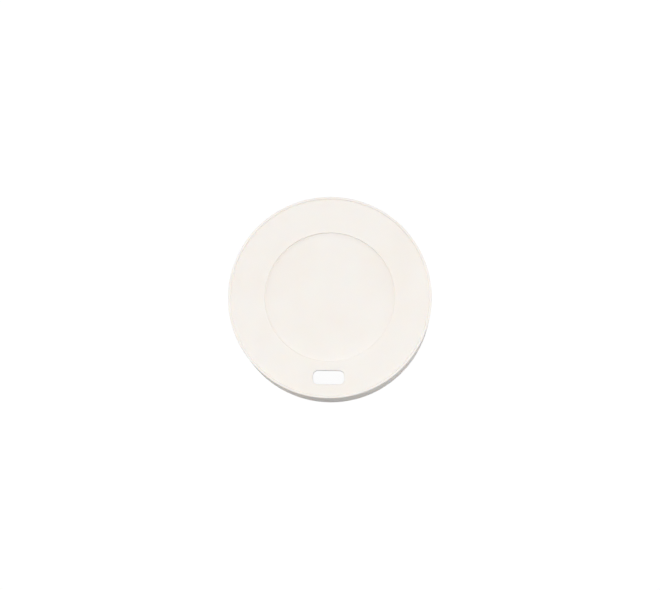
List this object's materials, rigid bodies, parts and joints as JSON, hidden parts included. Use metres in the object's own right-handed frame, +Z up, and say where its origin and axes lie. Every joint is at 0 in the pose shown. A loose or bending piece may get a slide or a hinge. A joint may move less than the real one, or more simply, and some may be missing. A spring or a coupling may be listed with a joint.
{
  "type": "coffee cup lid",
  "caption": "round press-on lid for a coffee cup, with a flat top, a shallow round recess, a sip slot near its edge, and a skirt and sealing ring underneath that hold the cup's rim",
  "frame": {"origin": "centre of the skirt's foot ring, on the table that the lid stands on", "axes": "+Z up through the middle of the plate, -Y towards the sip slot, +X along the slot's length"},
  "size_m": [0.09, 0.09, 0.0204],
  "materials": {
    "cream_polypropylene": "fine matt moulded texture, warm off-white"
  },
  "bodies": {
    "root": {"lid": "cream_polypropylene"}
  },
  "joints": []
}
